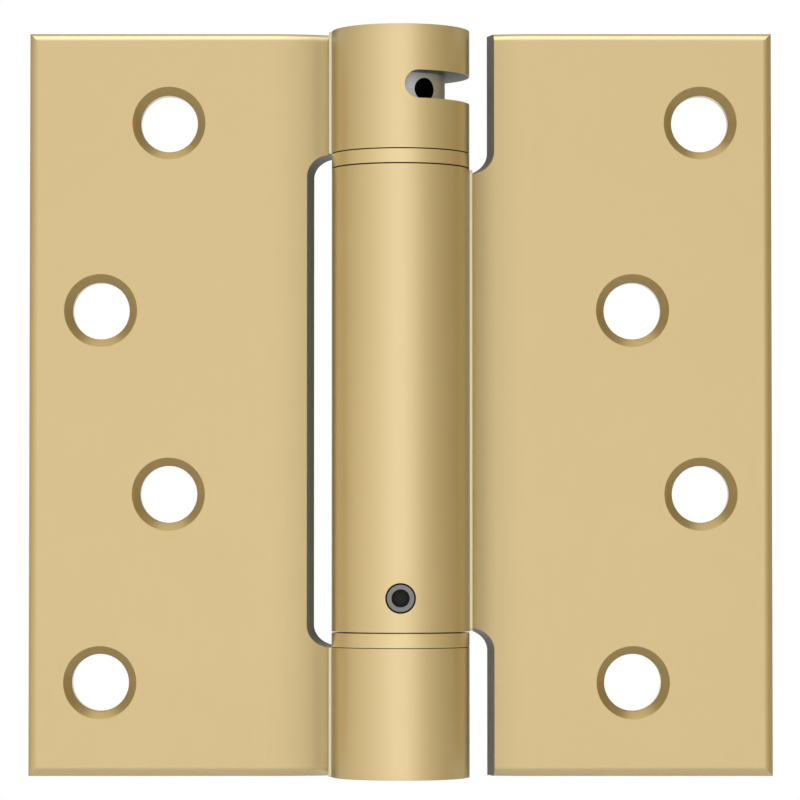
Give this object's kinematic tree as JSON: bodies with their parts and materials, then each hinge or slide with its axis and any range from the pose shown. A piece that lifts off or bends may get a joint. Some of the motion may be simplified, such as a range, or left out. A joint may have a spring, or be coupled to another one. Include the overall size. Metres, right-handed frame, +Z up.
{
  "type": "spring hinge",
  "caption": "Square-cornered adjustable spring hinge, opened flat, with rolled sheet leaves, a long spring barrel between outer knuckles and a slotted tension collar.",
  "frame": {"origin": "centre of the barrel, on the hinge's pivot axis at half its height", "axes": "+Z up along the pivot axis, +X towards the swinging leaf, +Y out of the leaves' backs; the front faces -Y"},
  "size_m": [0.1016, 0.0188, 0.1016],
  "materials": {
    "brass": "satin brass plate on steel sheet",
    "steel": "turned plain steel",
    "spring": "oil-tempered spring wire",
    "screw": "plain steel set screw"
  },
  "bodies": {
    "fixed_leaf": {"left_leaf": "brass", "top_cap": "brass", "bottom_cap": "brass", "upper_washer": "brass", "lower_washer": "brass"},
    "swing_leaf": {"right_leaf": "brass", "torsion_spring": "spring", "spring_anchor": "steel", "anchor_screw": "screw"},
    "tensioner": {"tension_collar": "steel"}
  },
  "joints": [
    {"name": "leaf_swing", "type": "hinge", "parent": "fixed_leaf", "child": "swing_leaf", "pos_m": [0, 0, 0], "axis": [0, 0, -1], "range_deg": [0, 180]},
    {"name": "collar_wind", "type": "hinge", "parent": "swing_leaf", "child": "tensioner", "pos_m": [0, 0, 0], "axis": [0, 0, -1], "range_deg": [0, 360], "stiffness_Nm_per_rad": 0.68, "deforming": ["torsion_spring"]}
  ]
}
